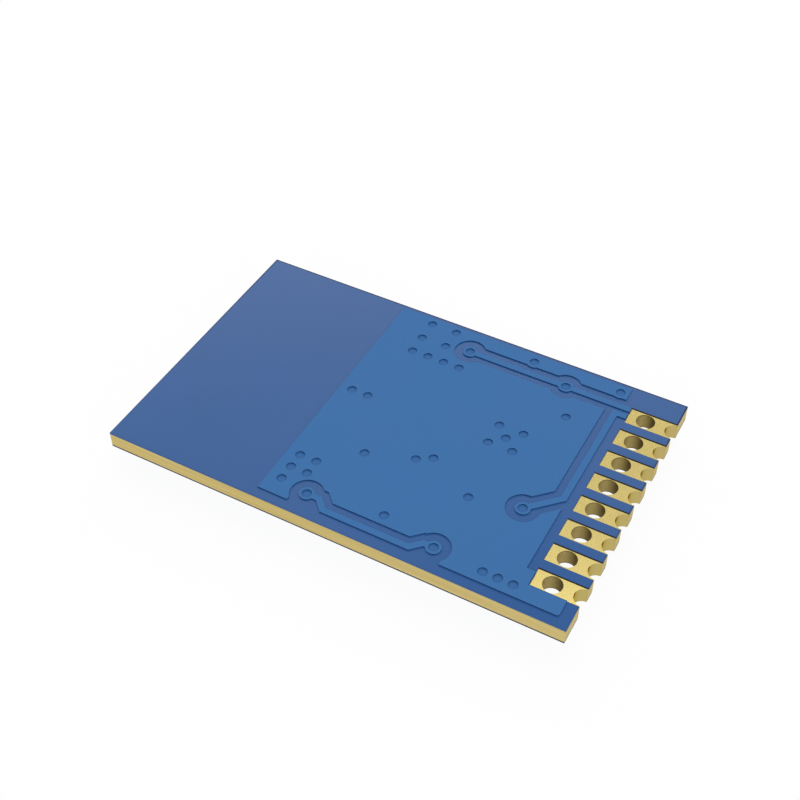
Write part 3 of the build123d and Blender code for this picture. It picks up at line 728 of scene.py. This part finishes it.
def round_edges(part, radius_mm, held):
    """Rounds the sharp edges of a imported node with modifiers, so its mesh stays as packed.

    held clamps the rounding where edges lie close together.
    """
    weld = part.modifiers.new("weld", "WELD")
    weld.merge_threshold = WELD_MM * MM
    bevel = part.modifiers.new("bevel", "BEVEL")
    bevel.width = radius_mm * MM
    bevel.segments = ROUNDING_STEPS
    bevel.limit_method = "ANGLE"
    bevel.angle_limit = SHARP_EDGE
    bevel.use_clamp_overlap = held
    bevel.harden_normals = True


def round_small_parts():
    """Rounds the edges of the parts on the underside. Only the end caps aren't clamped."""
    for name, part in frame["nodes"].items():
        for start, radius_mm in EDGE_ROUNDING_MM.items():
            if name.startswith(start):
                round_edges(part, radius_mm, not name.endswith("_terminals"))


def seen_directly(tree):
    """1 for rays from the camera, mirrors and glass, and 0 for the light that falls on things."""
    rays = add_node(tree, "ShaderNodeLightPath").outputs
    mirrored = math_node(tree, "MAXIMUM", rays["Is Glossy Ray"], rays["Is Transmission Ray"])
    return math_node(tree, "MAXIMUM", rays["Is Camera Ray"], mirrored)


def mix_shaders(tree, share, low, high):
    """The shader low where share is 0, and high where it is 1."""
    return add_node(tree, "ShaderNodeMixShader", {}, {0: share, 1: low, 2: high}).outputs[0]


def floor_material():
    """White that keeps the object's shadow, and lets a view from below look through."""
    material, tree = new_material("floor")
    pale = (FLOOR_BRIGHTNESS,) * 3 + (1.0,)
    lit = add_node(tree, "ShaderNodeBsdfDiffuse", {}, {"Color": pale}).outputs[0]
    glow = add_node(tree, "ShaderNodeEmission", {}, {"Color": WHITE, "Strength": 1.0}).outputs[0]
    clear = add_node(tree, "ShaderNodeBsdfTransparent").outputs[0]
    beneath = add_node(tree, "ShaderNodeNewGeometry").outputs["Backfacing"]
    share = math_node(tree, "MULTIPLY", seen_directly(tree), FLOOR_GLOW_SHARE)
    surface = mix_shaders(tree, beneath, mix_shaders(tree, share, lit, glow), clear)
    add_node(tree, "ShaderNodeOutputMaterial", {}, {"Surface": surface})
    return material


def make_floor():
    """A pale floor just under the chip and the crystal. Light passes it to reach the underside."""
    mesh = bpy.data.meshes.new("floor")
    shape = bmesh.new()
    half_side = FLOOR_SIDE_MM * MM / 2
    bmesh.ops.create_grid(shape, x_segments=FLOOR_CELLS, y_segments=FLOOR_CELLS, size=half_side)
    shape.to_mesh(mesh)
    shape.free()
    floor = bpy.data.objects.new("floor", mesh)
    floor.location.z = cad_low.z - FLOOR_GAP_MM * MM
    floor.visible_diffuse = False
    floor.visible_shadow = False
    mesh.materials.append(floor_material())
    bpy.context.scene.collection.objects.link(floor)


def make_surround():
    """An even white world, which is plain white where it is seen."""
    world = bpy.data.worlds.new("surround")
    world.use_nodes = True
    tree = world.node_tree
    tree.nodes.clear()
    strength = remap(tree, seen_directly(tree), 0.0, 1.0, SURROUND_STRENGTH, 1.0)
    sockets = {"Color": WHITE, "Strength": strength}
    white = add_node(tree, "ShaderNodeBackground", {}, sockets).outputs[0]
    add_node(tree, "ShaderNodeOutputWorld", {}, {"Surface": white})
    bpy.context.scene.world = world


def make_panel(name, place_mm, width_mm, height_mm, power):
    """A soft rectangular light that faces the middle of the board, with its width level."""
    light = bpy.data.lights.new(name, "AREA")
    light.shape = "RECTANGLE"
    light.size = width_mm * MM
    light.size_y = height_mm * MM
    light.energy = power
    panel = bpy.data.objects.new(name, light)
    panel.location = place_mm * MM
    panel.rotation_mode = "QUATERNION"
    panel.rotation_quaternion = (-place_mm).to_track_quat("-Z", "Y")
    bpy.context.scene.collection.objects.link(panel)


def make_camera():
    """The photograph's camera."""
    data = bpy.data.cameras.new("camera")
    data.sensor_width = SENSOR_WIDTH_MM
    data.lens = FOCAL_LENGTH_PX / IMAGE_SIDE_PX * SENSOR_WIDTH_MM
    data.clip_start = MM
    data.clip_end = FLOOR_SIDE_MM * MM
    camera = bpy.data.objects.new("camera", data)
    right = CAMERA_LOOK.cross(CAMERA_UP).normalized()
    up = right.cross(CAMERA_LOOK).normalized()
    turn = Matrix((right, up, -CAMERA_LOOK.normalized())).transposed()
    camera.matrix_world = Matrix.Translation(CAMERA_PLACE_MM * MM) @ turn.to_4x4()
    bpy.context.scene.collection.objects.link(camera)
    bpy.context.scene.camera = camera


bpy.context.scene.view_settings.view_transform = "Standard"
make_camera()
dress_nodes()
round_small_parts()
make_floor()
make_surround()
for panel_name, measures in PANELS.items():
    make_panel(panel_name, *measures)
